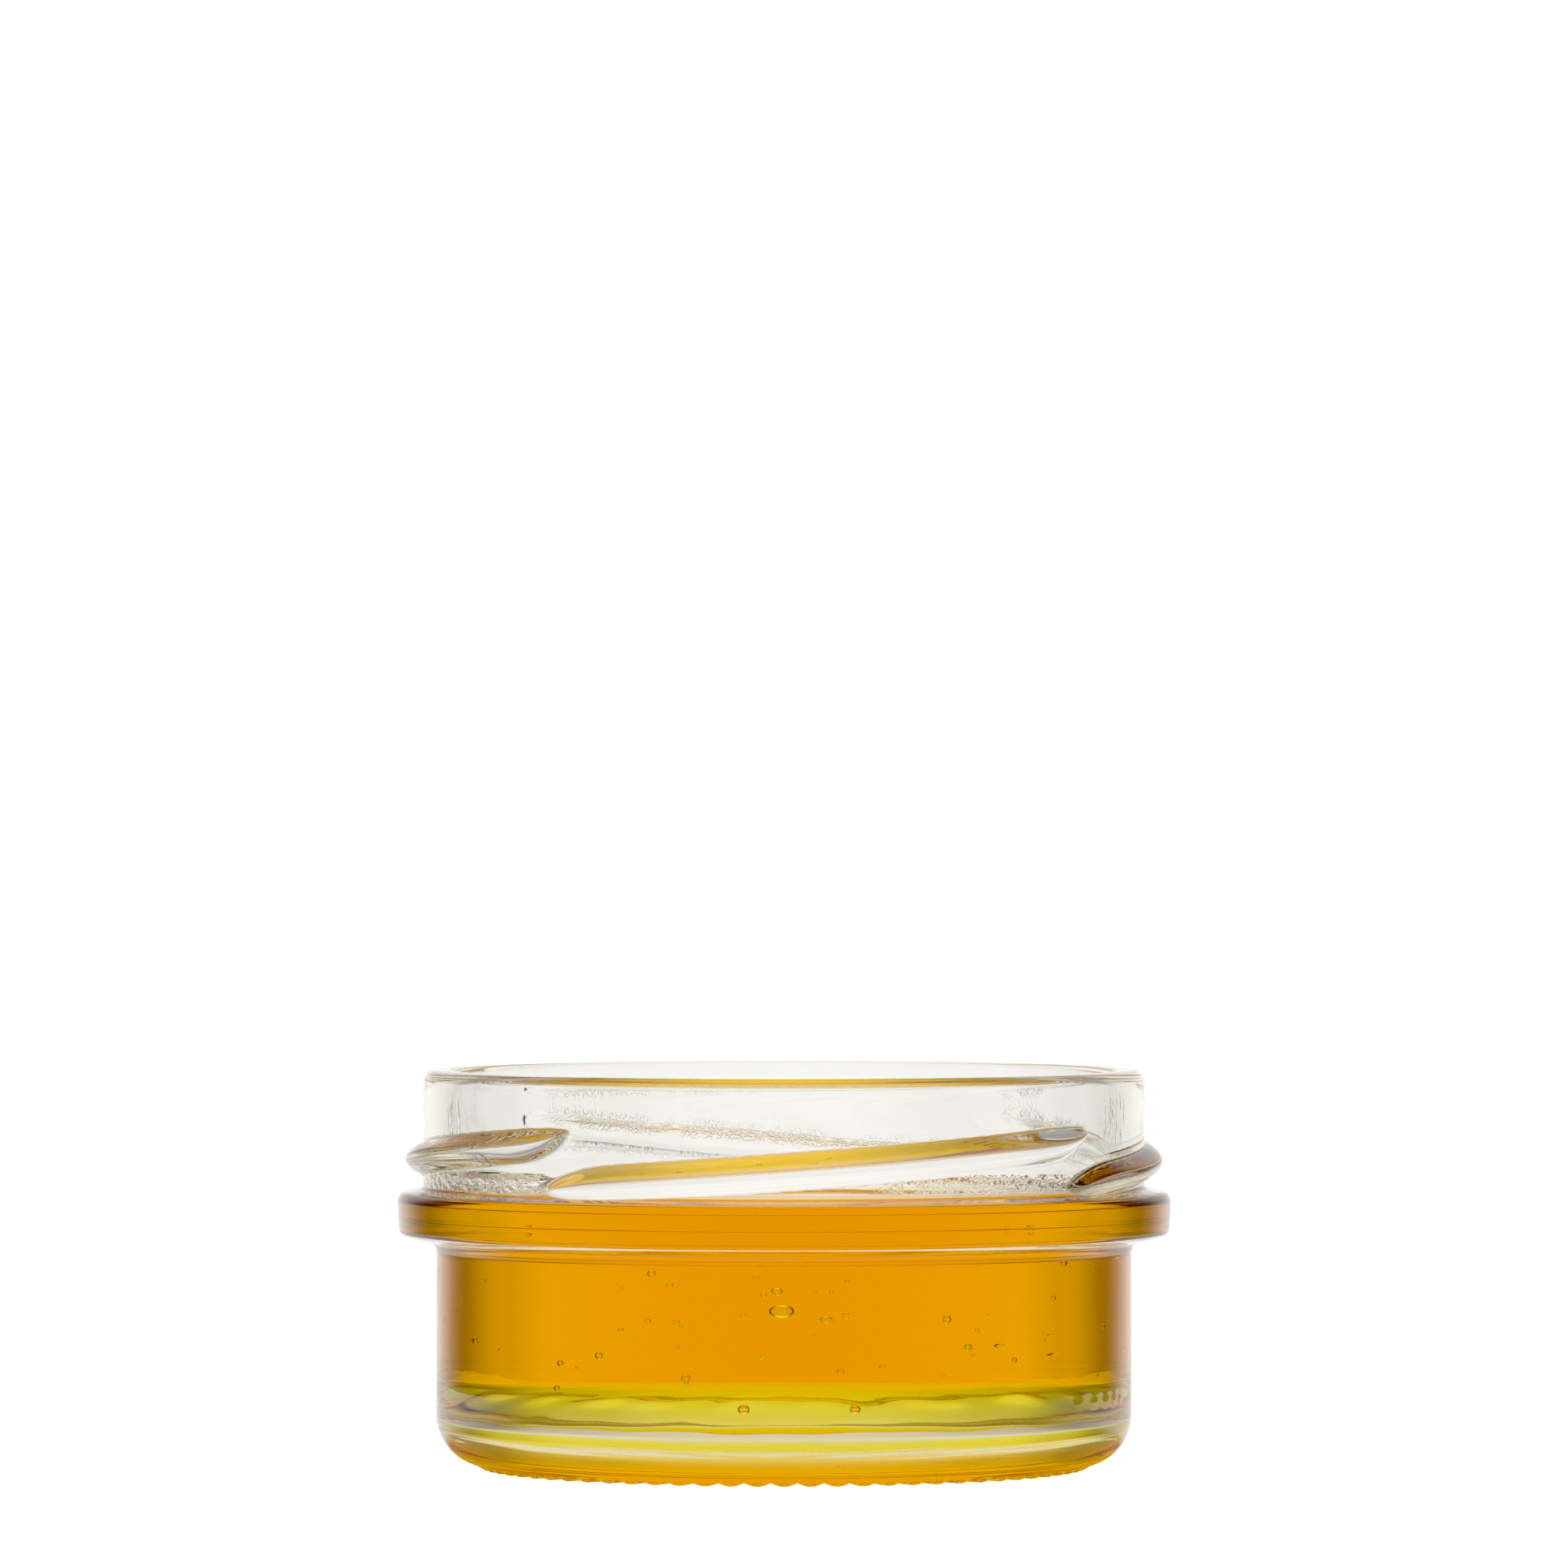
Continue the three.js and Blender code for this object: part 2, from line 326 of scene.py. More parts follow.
def trace_cavity(sizes, lugs):
    """Floor and wall of the cavity, from the axis to the top of the inner lip."""
    floor = lugs.bar_height + sizes.push_up + sizes.base_thickness
    wall = sizes.body_radius - sizes.body_wall
    gutter_x = wall - sizes.gutter_radius
    gutter_z = floor - sizes.gutter_drop
    plateau = gutter_x - sizes.slope_width
    edge = floor - sizes.plateau_crown
    outline = Outline(0.0, floor)
    for i in range(1, WALL_ROWS + 1):
        share = i / WALL_ROWS
        outline.add(plateau * share, floor - sizes.plateau_crown * share**2)
    slope_rows = 18
    for i in range(1, slope_rows + 1):
        share = i / slope_rows
        fall = float(smooth(share**sizes.slope_power))
        outline.add(plateau + sizes.slope_width * share, edge - (edge - gutter_z) * fall)
    outline.arc(gutter_x, gutter_z + sizes.gutter_radius, sizes.gutter_radius, -90, 0, 12)
    neck_inner = sizes.neck_radius - sizes.neck_wall
    outline.line(neck_inner, sizes.bead_top, 12)
    lip = sizes.lip_round
    outline.line(neck_inner, sizes.height - lip, WALL_ROWS)
    outline.arc(neck_inner + lip, sizes.height - lip, lip, 180, 90)
    return outline


def spin_outline(name, points, columns, material):
    """A closed body of revolution from points that start and end on the axis."""
    bpy.ops.object.select_all(action="DESELECT")
    bpy.ops.mesh.primitive_circle_add(vertices=len(points), radius=1.0)
    piece = bpy.context.object
    piece.name = name
    piece.data.name = name
    places = np.array([(radius, 0.0, height) for radius, height in points])
    piece.data.vertices.foreach_set("co", places.ravel())
    piece.data.update()

    bpy.ops.object.mode_set(mode="EDIT")
    bpy.ops.mesh.select_mode(type="EDGE")
    bpy.ops.mesh.select_all(action="DESELECT")
    bpy.ops.object.mode_set(mode="OBJECT")
    for edge in piece.data.edges:
        edge.select = all(points[v][0] == 0.0 for v in edge.vertices)
    bpy.ops.object.mode_set(mode="EDIT")
    bpy.ops.mesh.delete(type="EDGE")
    bpy.ops.mesh.select_all(action="SELECT")
    bpy.ops.mesh.spin(steps=columns, angle=2 * math.pi, center=(0, 0, 0), axis=(0, 0, 1))
    bpy.ops.mesh.select_all(action="SELECT")
    bpy.ops.mesh.remove_doubles(threshold=1e-7)
    bpy.ops.mesh.normals_make_consistent(inside=False)
    bpy.ops.object.mode_set(mode="OBJECT")
    bpy.ops.object.shade_smooth()
    piece.data.materials.append(material)
    return piece


def read_places(piece):
    places = np.empty(len(piece.data.vertices) * 3)
    piece.data.vertices.foreach_get("co", places)
    return places.reshape(-1, 3)


def write_places(piece, places):
    piece.data.vertices.foreach_set("co", places.ravel())
    piece.data.update()


def read_faces(piece):
    """Middles and normals of all faces."""
    count = len(piece.data.polygons)
    middles = np.empty(count * 3)
    facing = np.empty(count * 3)
    piece.data.polygons.foreach_get("center", middles)
    piece.data.polygons.foreach_get("normal", facing)
    return middles.reshape(-1, 3), facing.reshape(-1, 3)


def mark_faces(piece, share):
    """Marks by how much each face touches another stuff than the rest of the piece does."""
    marks = piece.data.attributes.new(TOUCHING, "FLOAT", "FACE")
    marks.data.foreach_set("value", share.astype(np.float32))


def lug_relief(lugs, angle, height):
    """How far the lugs stand out of the neck, and how chilled the glass is beside them."""
    relief = np.zeros_like(angle)
    marks = np.zeros_like(angle)
    for index in range(lugs.count):
        start = lugs.front_low + 2 * math.pi * index / lugs.count
        along = np.mod(angle - start, 2 * math.pi)
        share = np.clip(along / lugs.span, 0.0, 1.0)
        to_low = np.clip(along / lugs.low_taper, 0.0, 1.0)
        to_high = np.clip((lugs.span - along) / lugs.high_taper, 0.0, 1.0)
        low_body = np.sqrt(1 - (1 - to_low) ** 2)
        high_body = np.sqrt(1 - (1 - to_high) ** 2)
        body = np.where(along < lugs.span, low_body * high_body, 0.0)
        middle = lugs.middle_height + lugs.rise * (share - 0.5)
        middle += 0.7 * lugs.half_height * (1 - high_body) - lugs.tip_bend * (1 - to_low) ** 2
        half = np.maximum(lugs.half_height * body, 1e-6)
        across = np.clip((height - middle) / half, -1.0, 1.0)
        ridge = lugs.depth * np.sqrt(body) * np.cos(across * math.pi / 2) ** 0.9
        relief = np.maximum(relief, np.where(body > 0, ridge, 0.0))
        above = height - middle - half
        upper = smooth((above + 1.5 * MM) / (0.4 * MM)) * smooth((1.1 * MM - above) / (0.9 * MM))
        below = middle - half - height
        lower = smooth((below + 0.35 * MM) / (0.3 * MM)) * smooth((0.6 * MM - below) / (0.4 * MM))
        fade = smooth(along / TIP_FADE) * smooth((lugs.span - along) / TIP_FADE)
        marks = np.maximum(marks, np.maximum(upper, 0.7 * lower) * fade)
    return relief, marks


def tip_nearness(lugs, angle):
    """One at the tips of the lugs, falling to zero a few degrees away from them."""
    near = np.zeros_like(angle)
    for index in range(lugs.count):
        low = lugs.front_low + 2 * math.pi * index / lugs.count
        for tip in (low, low + lugs.span):
            away = np.abs(np.mod(angle - tip + math.pi, 2 * math.pi) - math.pi)
            near = np.maximum(near, 1 - smooth(away / TIP_FADE))
    return near


def front_angle(angle):
    """Degrees from the front, to the right counted up."""
    return np.degrees(np.mod(angle + 1.5 * math.pi, 2 * math.pi) - math.pi)


def chill_marks(sizes, angle, height, beside_lugs):
    """Where the neck has the fine wrinkles of glass that met a cold mould."""
    turned = front_angle(angle)
    behind = smooth((np.abs(turned) - 100) / 22)
    over_bead = smooth((height - sizes.bead_top - 0.1 * MM) / (0.3 * MM))
    low = over_bead * smooth((sizes.bead_top + 2.1 * MM - height) / (0.7 * MM))
    left = smooth((turned + 100) / 12) * smooth((-38 - turned) / 10)
    right = smooth((turned - 12) / 24) * smooth((58 - turned) / 14)
    flank = smooth((np.abs(turned) - 60) / 4) * smooth((70 - np.abs(turned)) / 4)
    flank *= smooth((height - 28 * MM) / (2 * MM))
    flank *= smooth((sizes.height - 1.5 * MM - height) / (2 * MM))
    specks = np.maximum(behind * beside_lugs, 0.35 * right * low)
    return specks, left * low, flank


def bar_relief(sizes, lugs, angle, radius):
    """Share, from 0 to 1, of a bar under the ring at each angle and radius."""
    outer = sizes.body_radius - sizes.heel_radius + lugs.bar_overhang
    inner = sizes.body_radius - sizes.heel_radius - sizes.ring_width
    ends = smooth((radius - inner) / (0.6 * MM)) * smooth((outer - radius) / (0.9 * MM))
    return ends * np.abs(np.cos(angle * lugs.bar_count / 2))


def dot_relief(sizes, angle, height):
    """How far the row of dots stands out of the body."""
    relief = np.zeros_like(angle)
    for degrees in DOT_ANGLES:
        sideways = np.radians(front_angle(angle) - degrees) * sizes.body_radius
        away = np.hypot(sideways, height - DOT_HEIGHT)
        relief = np.maximum(relief, DOT_RISE * smooth(1 - away / (DOT_SIZE / 2)))
    return relief


def slow_waves(waves, angle, along):
    """Slow unevenness, about -1 to 1, of listed waves."""
    total = np.zeros_like(angle)
    for count, pitch, phase in waves:
        total += np.sin(count * angle + pitch * along + phase) / len(waves) * 1.6
    return total


def wave_cavity(sizes, places):
    """Moves points of the cavity's floor and wall by the waves inside the glass."""
    radius = np.hypot(places[:, 0], places[:, 1])
    angle = np.arctan2(places[:, 1], places[:, 0])
    wall = sizes.body_radius - sizes.body_wall
    share = smooth(radius / wall)
    floor_wave = slow_waves(FLOOR_WAVES, angle, radius) * sizes.floor_waves
    neck_calm = 1 - 0.7 * smooth((places[:, 2] - sizes.bead_bottom) / (4 * MM))
    wall_wave = slow_waves(WALL_WAVES, angle, places[:, 2]) * sizes.inner_waves * neck_calm
    lip_calm = smooth((sizes.height - places[:, 2]) / (4 * MM))
    on_wall = smooth((places[:, 2] - 7 * MM) / (2 * MM))
    push = share * lip_calm * (1 - on_wall) * floor_wave
    outward = 0.4 + 1.3 * smooth((radius - 17 * MM) / (5 * MM))
    places[:, 2] += push * outward * smooth(1 - (radius - 24 * MM) / (3.5 * MM))
    scale = 1 + share * lip_calm * on_wall * wall_wave / np.maximum(radius, 1 * MM)
    places[:, :2] *= np.where(radius > 20 * MM, scale, 1.0)[:, None]
    return places


def in_cavity(sizes, radius, height):
    """Which places lie on the floor or the wall of the cavity."""
    return (radius < sizes.body_radius - sizes.body_wall / 2) & (height > sizes.heel_radius)


def mark_chill(piece, marks):
    """Writes the chill marks of all points onto the mesh."""
    for name, values in zip((SPECKS, CRINKLES, STREAKS), marks):
        chill = piece.data.attributes.new(name, "FLOAT", "POINT")
        chill.data.foreach_set("value", values.astype(np.float32))


def mark_refraction(piece, sizes, lugs, honey):
    """Marks the faces of the glass that honey wets, and those of the blunted lugs behind."""
    middles, _ = read_faces(piece)
    radius = np.hypot(middles[:, 0], middles[:, 1])
    angle = np.arctan2(middles[:, 1], middles[:, 0])
    height = middles[:, 2]
    wet = in_cavity(sizes, radius, height) & (height < honey.level + honey.climb)
    behind = smooth((np.abs(front_angle(angle)) - 95) / 20)
    behind *= (radius > sizes.neck_radius) & (height > sizes.bead_top)
    blunt = BLUNT + (BLUNT_TIP - BLUNT) * tip_nearness(lugs, angle)
    mark_faces(piece, np.maximum(wet, blunt * behind))


def press_glass(sizes, lugs, honey, material):
    """The whole jar of glass as one closed piece."""
    outside = trace_outside(sizes, lugs).points
    inside = trace_cavity(sizes, lugs).points
    columns = lugs.bar_count * COLUMNS_PER_BAR
    piece = spin_outline("clear_glass_jar", outside + inside[::-1], columns, material)
    places = read_places(piece)
    radius = np.hypot(places[:, 0], places[:, 1])
    angle = np.arctan2(places[:, 1], places[:, 0])
    height = places[:, 2]
    cavity = in_cavity(sizes, radius, height)
    neck = (radius > sizes.neck_radius - 0.1 * MM) & (height > sizes.bead_top - sizes.bead_fall)
    neck &= height < sizes.height - sizes.lip_round

    relief, beside_lugs = lug_relief(lugs, angle, height)
    lugged = np.maximum(radius, sizes.neck_radius + relief)
    mark_chill(piece, [neck * marks for marks in chill_marks(sizes, angle, height, beside_lugs)])
    wavy = radius + (slow_waves(WALL_WAVES, angle + 1.0, height) - 1.6) * sizes.outer_waves
    wavy += np.where(radius > sizes.body_radius - 0.1 * MM, dot_relief(sizes, angle, height), 0.0)
    body = ~cavity & (height > lugs.bar_height + sizes.heel_radius / 2)
    new_radius = np.where(neck, lugged, np.where(body, wavy, radius))
    places[:, :2] *= (new_radius / np.maximum(radius, 1e-9))[:, None]
    under = ~cavity & (height < lugs.bar_height + sizes.heel_radius / 2)
    bars = bar_relief(sizes, lugs, angle, radius)
    dome = smooth((height - lugs.bar_height) / (0.5 * MM)) * smooth(radius / (8 * MM))
    dome *= radius < sizes.body_radius - sizes.heel_radius - sizes.ring_width
    domed = height + dome * slow_waves(FLOOR_WAVES, angle + 2.0, radius) * sizes.dome_waves
    places[:, 2] = np.where(under, domed * (1 - bars), height)
    places[cavity] = wave_cavity(sizes, places[cavity])
    write_places(piece, places)
    mark_refraction(piece, sizes, lugs, honey)
    return piece


def pour_honey(sizes, lugs, honey, material):
    """The honey as one closed piece that wets the glass, with its edge climbing the wall."""
    inside = np.array(trace_cavity(sizes, lugs).points)
    top = honey.level + honey.climb
    below = inside[inside[:, 1] < top]
    neck_inner = float(np.interp(top, inside[-20:, 1], inside[-20:, 0]))
    wet = np.vstack([below, (neck_inner, top)])
    along = np.gradient(wet, axis=0)
    along /= np.linalg.norm(along, axis=1)[:, None]
    outward = np.stack([along[:, 1], -along[:, 0]], axis=1)
    skin = wet - outward * honey.clearance
    skin[0, 0] = 0.0
    skin[-1, 1] = top
    points = [tuple(point) for point in skin]
    edge_rows = 14
    edge = skin[-1, 0]
    for i in range(1, edge_rows + 1):
        share = i / edge_rows
        fall = honey.climb * (1 - share) ** 2.2
        points.append((edge - honey.edge_width * share**1.3, honey.level + fall))
    flat = edge - honey.edge_width
    flat_rows = 10
    for i in range(1, flat_rows):
        points.append((flat * (1 - i / flat_rows), honey.level))
    points.append((0.0, honey.level))
    piece = spin_outline("amber_honey", points, HONEY_COLUMNS, material)
    places = read_places(piece)
    wetted = places[:, 2] < honey.level - 0.5 * MM
    places[wetted] = wave_cavity(sizes, places[wetted])
    write_places(piece, places)
    middles, facing = read_faces(piece)
    open_face = (facing[:, 2] > 0.2) & (middles[:, 2] > honey.level - 0.1 * MM)
    mark_faces(piece, open_face)
    blow_bubbles(sizes, piece)
    return piece


def seen_at(sizes, sideways, depth):
    """Where a bubble has to be to show at a sideways place, through the curved wall, from the front."""
    ratio = sideways / sizes.body_radius
    bend = math.asin(ratio) - math.asin(ratio / HONEY_IOR)
    return sideways - math.tan(bend) * (depth + sizes.body_radius * math.sqrt(1 - ratio**2))


def blow_bubbles(sizes, honey):
    """Air bubbles, as hollows with their faces turned into the air."""
    bpy.ops.object.select_all(action="DESELECT")
    bubbles = []
    for x, y, z, width, flat in BUBBLES:
        bubbles.append((seen_at(sizes, x * MM, y * MM) / MM, y, z, width, flat))
    chance = random.Random(11)
    for _ in range(FINE_BUBBLES):
        angle = chance.uniform(0, 2 * math.pi)
        radius = 26.0 * math.sqrt(chance.random())
        place = (radius * math.cos(angle), radius * math.sin(angle), chance.uniform(8.5, 22.0))
        bubbles.append((*place, chance.uniform(0.2, 0.5), 1.0))
    for index, (x, y, z, width, flat) in enumerate(bubbles):
        bpy.ops.mesh.primitive_ico_sphere_add(
            subdivisions=3, radius=width / 2 * MM, location=(x * MM, y * MM, z * MM), scale=(1, 1, flat)
        )
        if index == 0:
            bpy.ops.object.mode_set(mode="EDIT")
    bpy.ops.mesh.select_all(action="SELECT")
    bpy.ops.mesh.faces_shade_smooth()
    bpy.ops.mesh.flip_normals()
    bpy.ops.object.mode_set(mode="OBJECT")
    hollows = bpy.context.object
    bpy.ops.object.transform_apply(location=True, rotation=True, scale=True)
    mark_faces(hollows, np.full(len(hollows.data.polygons), FAINT))
    hollows.data.materials.append(honey.data.materials[0])
    honey.select_set(True)
    bpy.context.view_layer.objects.active = honey
    bpy.ops.object.join()


def new_material(name):
    material = bpy.data.materials.new(name)
    material.use_nodes = True
    return material, material.node_tree.nodes, material.node_tree.links


def noise(nodes, links, place, scale, detail, squeeze=(1.0, 1.0, 1.0)):
    """Noise fixed to the piece, in features per metre; a squeeze below one draws it out that way."""
    drawn = nodes.new("ShaderNodeVectorMath")
    drawn.operation = "MULTIPLY"
    drawn.inputs[1].default_value = squeeze
    node = nodes.new("ShaderNodeTexNoise")
    node.inputs["Scale"].default_value = scale
    node.inputs["Detail"].default_value = detail
    links.new(place.outputs["Object"], drawn.inputs[0])
    links.new(drawn.outputs["Vector"], node.inputs["Vector"])
    return node.outputs["Fac"]


def ramp(nodes, links, value, low, high, start, end):
    """A soft step of a value between low and high."""
    node = nodes.new("ShaderNodeMapRange")
    node.interpolation_type = "SMOOTHSTEP"
    node.inputs["From Min"].default_value = low
    node.inputs["From Max"].default_value = high
    node.inputs["To Min"].default_value = start
    node.inputs["To Max"].default_value = end
    links.new(value, node.inputs["Value"])
    return node.outputs["Result"]


def stops(nodes, links, value, lights):
    """A ramp through (place, brightness) stops; brightness is halved in the ramp, which ends at one."""
    node = nodes.new("ShaderNodeValToRGB")
    node.color_ramp.interpolation = "EASE"
    elements = node.color_ramp.elements
    while len(elements) < len(lights):
        elements.new(0.5)
    for element, (place, light) in zip(elements, lights):
        element.position = place
        element.color = (light / 2, light / 2, light / 2, 1.0)
    links.new(value, node.inputs["Fac"])
    double = nodes.new("ShaderNodeMath")
    double.operation = "MULTIPLY"
    double.inputs[1].default_value = 2.0
    links.new(node.outputs["Color"], double.inputs[0])
    return double.outputs["Value"]


def times(nodes, links, first, second):
    node = nodes.new("ShaderNodeMath")
    node.operation = "MULTIPLY"
    links.new(first, node.inputs[0])
    links.new(second, node.inputs[1])
    return node.outputs["Value"]


def absorb(nodes, links, passed, density):
    """Takes colour out of the light on its way through."""
    absorption = nodes.new("ShaderNodeVolumeAbsorption")
    absorption.inputs["Color"].default_value = (*passed, 1.0)
    absorption.inputs["Density"].default_value = density
    links.new(absorption.outputs["Volume"], nodes["Material Output"].inputs["Volume"])


def clear_shader(nodes, links, ior, plain, touching):
    """A clear shader; its refraction is the plain faces' or that of the faces marked as touching."""
    shader = nodes["Principled BSDF"]
    shader.inputs["Base Color"].default_value = (1.0, 1.0, 1.0, 1.0)
    shader.inputs["Roughness"].default_value = 0.0
    shader.inputs["IOR"].default_value = ior
    shader.inputs["Transmission Weight"].default_value = 1.0
    bends = nodes.new("ShaderNodeMapRange")
    bends.inputs["To Min"].default_value = plain
    bends.inputs["To Max"].default_value = touching
    links.new(attribute(nodes, TOUCHING), bends.inputs["Value"])
    links.new(bends.outputs["Result"], shader.inputs["IOR"])
    return shader


def bump(nodes, links, height, distance, strength, before=None):
    node = nodes.new("ShaderNodeBump")
    node.inputs["Strength"].default_value = strength
    node.inputs["Distance"].default_value = distance
    links.new(height, node.inputs["Height"])
    if before:
        links.new(before, node.inputs["Normal"])
    return node.outputs["Normal"]


def attribute(nodes, name):
    node = nodes.new("ShaderNodeAttribute")
    node.attribute_name = name
    return node.outputs["Fac"]


def glass_material(sizes):
    """Clear glass with the faint orange-peel of a mould and its chill marks."""
    material, nodes, links = new_material("pressed_clear_glass")
    shader = clear_shader(nodes, links, GLASS_IOR, GLASS_IOR, GLASS_IOR / HONEY_IOR)
    absorb(nodes, links, sizes.passed, sizes.density)
    place = nodes.new("ShaderNodeTexCoord")
    peel = noise(nodes, links, place, 180.0, 2.0)
    normal = bump(nodes, links, peel, 0.2 * MM, 0.05)

    dots = ramp(nodes, links, noise(nodes, links, place, 3400.0, 2.0), 0.42, 0.62, 0.0, 1.0)
    patch = ramp(nodes, links, noise(nodes, links, place, 420.0, 3.0), 0.36, 0.52, 0.0, 1.0)
    where = times(nodes, links, attribute(nodes, SPECKS), patch)
    normal = bump(nodes, links, times(nodes, links, where, dots), 0.05 * MM, 1.0, normal)
    links.new(ramp(nodes, links, where, 0.0, 1.0, 0.0, 0.2), shader.inputs["Roughness"])

    drawn_out = noise(nodes, links, place, 2600.0, 2.0, (1.0, 1.0, 0.14))
    streaks = ramp(nodes, links, drawn_out, 0.48, 0.7, 0.0, 1.0)
    streaked = times(nodes, links, attribute(nodes, STREAKS), streaks)
    normal = bump(nodes, links, streaked, 0.12 * MM, 1.0, normal)

    folds = noise(nodes, links, place, 2000.0, 2.0, (0.5, 0.5, 1.0))
    folded = times(nodes, links, attribute(nodes, CRINKLES), folds)
    normal = bump(nodes, links, folded, 0.16 * MM, 1.0, normal)
    links.new(normal, shader.inputs["Normal"])
    return material


def honey_material(honey):
    """Clear honey: it refracts at the air, and takes blue and some green out of what passes."""
    material, nodes, links = new_material("amber_honey")
    clear_shader(nodes, links, HONEY_IOR, 1.0, HONEY_IOR)
    absorb(nodes, links, honey.passed, honey.density)
    return material


def floor_material(stage):
    """Pale even floor."""
    material, nodes, links = new_material("pale_floor")
    shader = nodes["Principled BSDF"]
    shader.inputs["Base Color"].default_value = (*stage.floor_colour, 1.0)
    shader.inputs["Roughness"].default_value = 0.9
    shader.inputs["Specular IOR Level"].default_value = 0.0
    shader.inputs["Emission Color"].default_value = (1.0, 1.0, 1.0, 1.0)
    shader.inputs["Emission Strength"].default_value = 0.96
    return material


def round_the_jar(stage, nodes, links, place, narrow=None):
    """Brightness over the direction round the jar: bright before and behind, dim at the sides."""
    flat = nodes.new("ShaderNodeVectorMath")
    flat.operation = "MULTIPLY"
    flat.inputs[1].default_value = (1.0, 1.0, 0.0)
    level = nodes.new("ShaderNodeVectorMath")
    level.operation = "NORMALIZE"
    split = nodes.new("ShaderNodeSeparateXYZ")
    links.new(place, flat.inputs[0])
    links.new(flat.outputs["Vector"], level.inputs[0])
    links.new(level.outputs["Vector"], split.inputs["Vector"])
    facing = nodes.new("ShaderNodeMath")
    facing.operation = "ABSOLUTE"
    links.new(split.outputs["Y"], facing.inputs[0])
    value = facing.outputs["Value"]
    if narrow:
        less = nodes.new("ShaderNodeMath")
        less.operation = "SUBTRACT"
        links.new(value, less.inputs[0])
        links.new(narrow, less.inputs[1])
        value = less.outputs["Value"]
    light = stops(nodes, links, value, [
        (math.cos(math.radians(angle)), brightness)
        for angle, brightness in (
            (84, stage.wing_light),
            (72, stage.side_light),
            (57, stage.side_light),
            (40, stage.edge_light),
            (28, 1.0),
        )
    ])
    return light, split.outputs["Y"]


def blend(nodes, links, share, tint):
    """White, going over to a colour where the share is one."""
    node = nodes.new("ShaderNodeMix")
    node.data_type = "RGBA"
    node.inputs["A"].default_value = (1.0, 1.0, 1.0, 1.0)
    node.inputs["B"].default_value = (*tint, 1.0)
    links.new(share, node.inputs["Factor"])
    return node.outputs["Result"]


def floor_light_material(stage):
    """The floor as the glass sees it, a glowing disc of painted light: bright through the glass, with
    painted honey-tinted light under the jar and painted shade at the sides, and in what the heel
    mirrors a painted amber pool of light under the jar, bright behind and dark before it.
    """
    material, nodes, links = new_material("floor_light")
    nodes.remove(nodes["Principled BSDF"])
    place = nodes.new("ShaderNodeTexCoord")
    light, forward = round_the_jar(stage, nodes, links, place.outputs["Object"])
    away = nodes.new("ShaderNodeVectorMath")
    away.operation = "LENGTH"
    links.new(place.outputs["Object"], away.inputs[0])
    under = ramp(nodes, links, away.outputs["Value"], 28 * MM, 40 * MM, 1.0, 0.0)
    behind = ramp(nodes, links, forward, -0.2, 0.4, 0.0, 1.0)
    strength = nodes.new("ShaderNodeMath")
    strength.operation = "MAXIMUM"
    links.new(under, strength.inputs[0])
    links.new(behind, strength.inputs[1])
    # Painted amber pool of honey light under the jar, and painted shade before it, in what the glass
    # mirrors
    mirrored = nodes.new("ShaderNodeEmission")
    links.new(blend(nodes, links, under, stage.glow), mirrored.inputs["Color"])
    links.new(strength.outputs["Value"], mirrored.inputs["Strength"])
    # Painted honey-tinted light under the jar and painted shade at the sides, in what is seen through
    # the glass
    seen = nodes.new("ShaderNodeEmission")
    links.new(blend(nodes, links, under, stage.under), seen.inputs["Color"])
    even = nodes.new("ShaderNodeMix")
    even.inputs["A"].default_value = 1.0
    outside = ramp(nodes, links, away.outputs["Value"], 2 * MM, 32 * MM, 0.0, 1.0)
    links.new(outside, even.inputs["Factor"])
    links.new(light, even.inputs["B"])
    dim = nodes.new("ShaderNodeMath")
    dim.operation = "MULTIPLY"
    dim.inputs[1].default_value = stage.near_light
    links.new(even.outputs["Result"], dim.inputs[0])
    links.new(dim.outputs["Value"], seen.inputs["Strength"])
    path = nodes.new("ShaderNodeLightPath")
    either = nodes.new("ShaderNodeMixShader")
    links.new(path.outputs["Is Reflection Ray"], either.inputs["Fac"])
    links.new(seen.outputs["Emission"], either.inputs[1])
    links.new(mirrored.outputs["Emission"], either.inputs[2])
    links.new(either.outputs["Shader"], nodes["Material Output"].inputs["Surface"])
    return material


